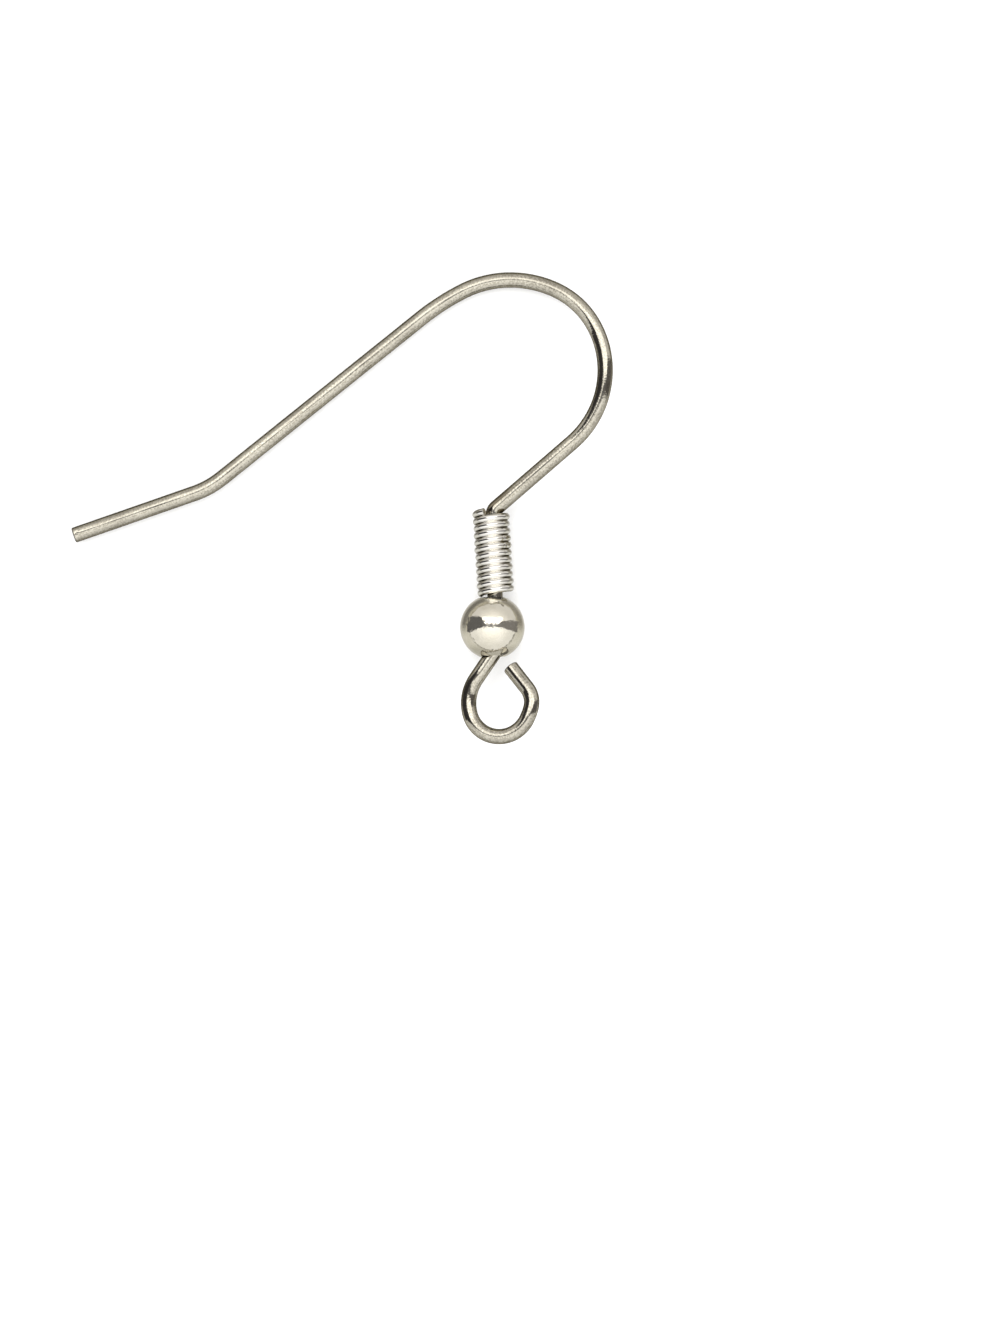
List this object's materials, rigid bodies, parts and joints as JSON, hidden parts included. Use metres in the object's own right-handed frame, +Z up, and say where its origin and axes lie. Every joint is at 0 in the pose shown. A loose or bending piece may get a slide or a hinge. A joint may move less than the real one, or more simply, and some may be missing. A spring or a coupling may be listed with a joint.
{
  "type": "ear wire",
  "caption": "Fish-hook ear wire with a close-wound coil, a ball bead and an open eye for a drop, lying on its side",
  "frame": {"origin": "Middle of the part's box in plan, on the surface that the part lies on", "axes": "+Z up from the surface, +Y along the neck from the eye up to the arch, +X from the tail's side to the arch's side"},
  "size_m": [0.0252, 0.022, 0.003],
  "materials": {
    "hook_wire": "drawn wire, softly bright",
    "coil_wire": "bright plated",
    "bead_metal": "polished plating"
  },
  "bodies": {
    "root": {"ear_hook": "hook_wire", "wire_coil": "coil_wire", "ball_bead": "bead_metal"}
  },
  "joints": []
}
